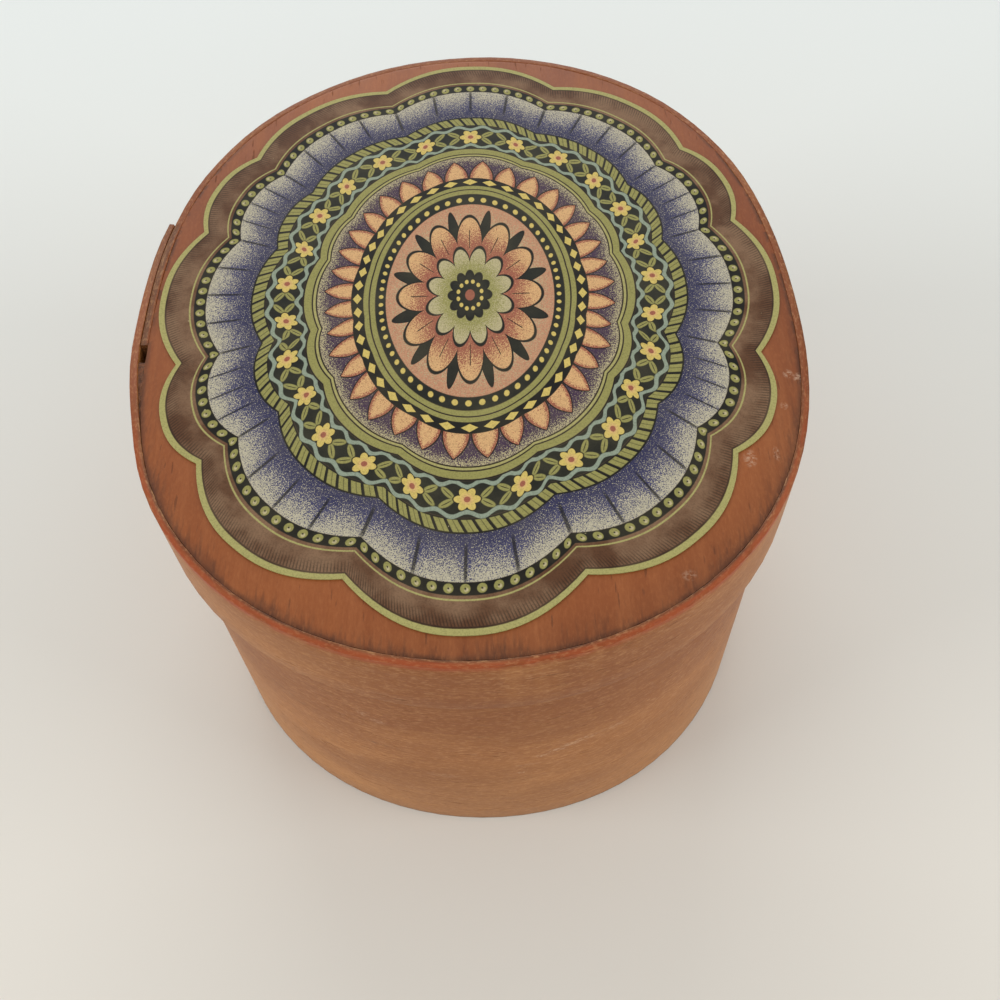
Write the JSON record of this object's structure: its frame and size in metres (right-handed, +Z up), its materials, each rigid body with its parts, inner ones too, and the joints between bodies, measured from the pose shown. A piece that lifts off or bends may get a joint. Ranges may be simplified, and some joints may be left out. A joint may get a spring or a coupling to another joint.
{
  "type": "trinket box",
  "caption": "Oval bentwood trinket box: thin strips of stained wood bent round oval boards, with a lift-off lid that carries a lobed paper label.",
  "frame": {"origin": "middle of the underside of the floor board, on the flat that the box rests on", "axes": "+Z up through the lid, Y along the oval's long axis, X across it"},
  "size_m": [0.0903, 0.1079, 0.0601],
  "materials": {
    "band_wood": "stained, satin, thin bent strip",
    "board_wood": "stained, satin, flat board",
    "floor_wood": "stained, matt, flat board",
    "printed_paper": "printed, semi-matt"
  },
  "bodies": {
    "base": {"base_band": "band_wood", "base_floor": "floor_wood"},
    "lid": {"lid_band": "band_wood", "lid_top": "board_wood", "paper_label": "printed_paper"}
  },
  "joints": [
    {"name": "lid_lift", "type": "slide", "parent": "base", "child": "lid", "axis": [0, 0, 1], "range_m": [0, 0.08]}
  ]
}
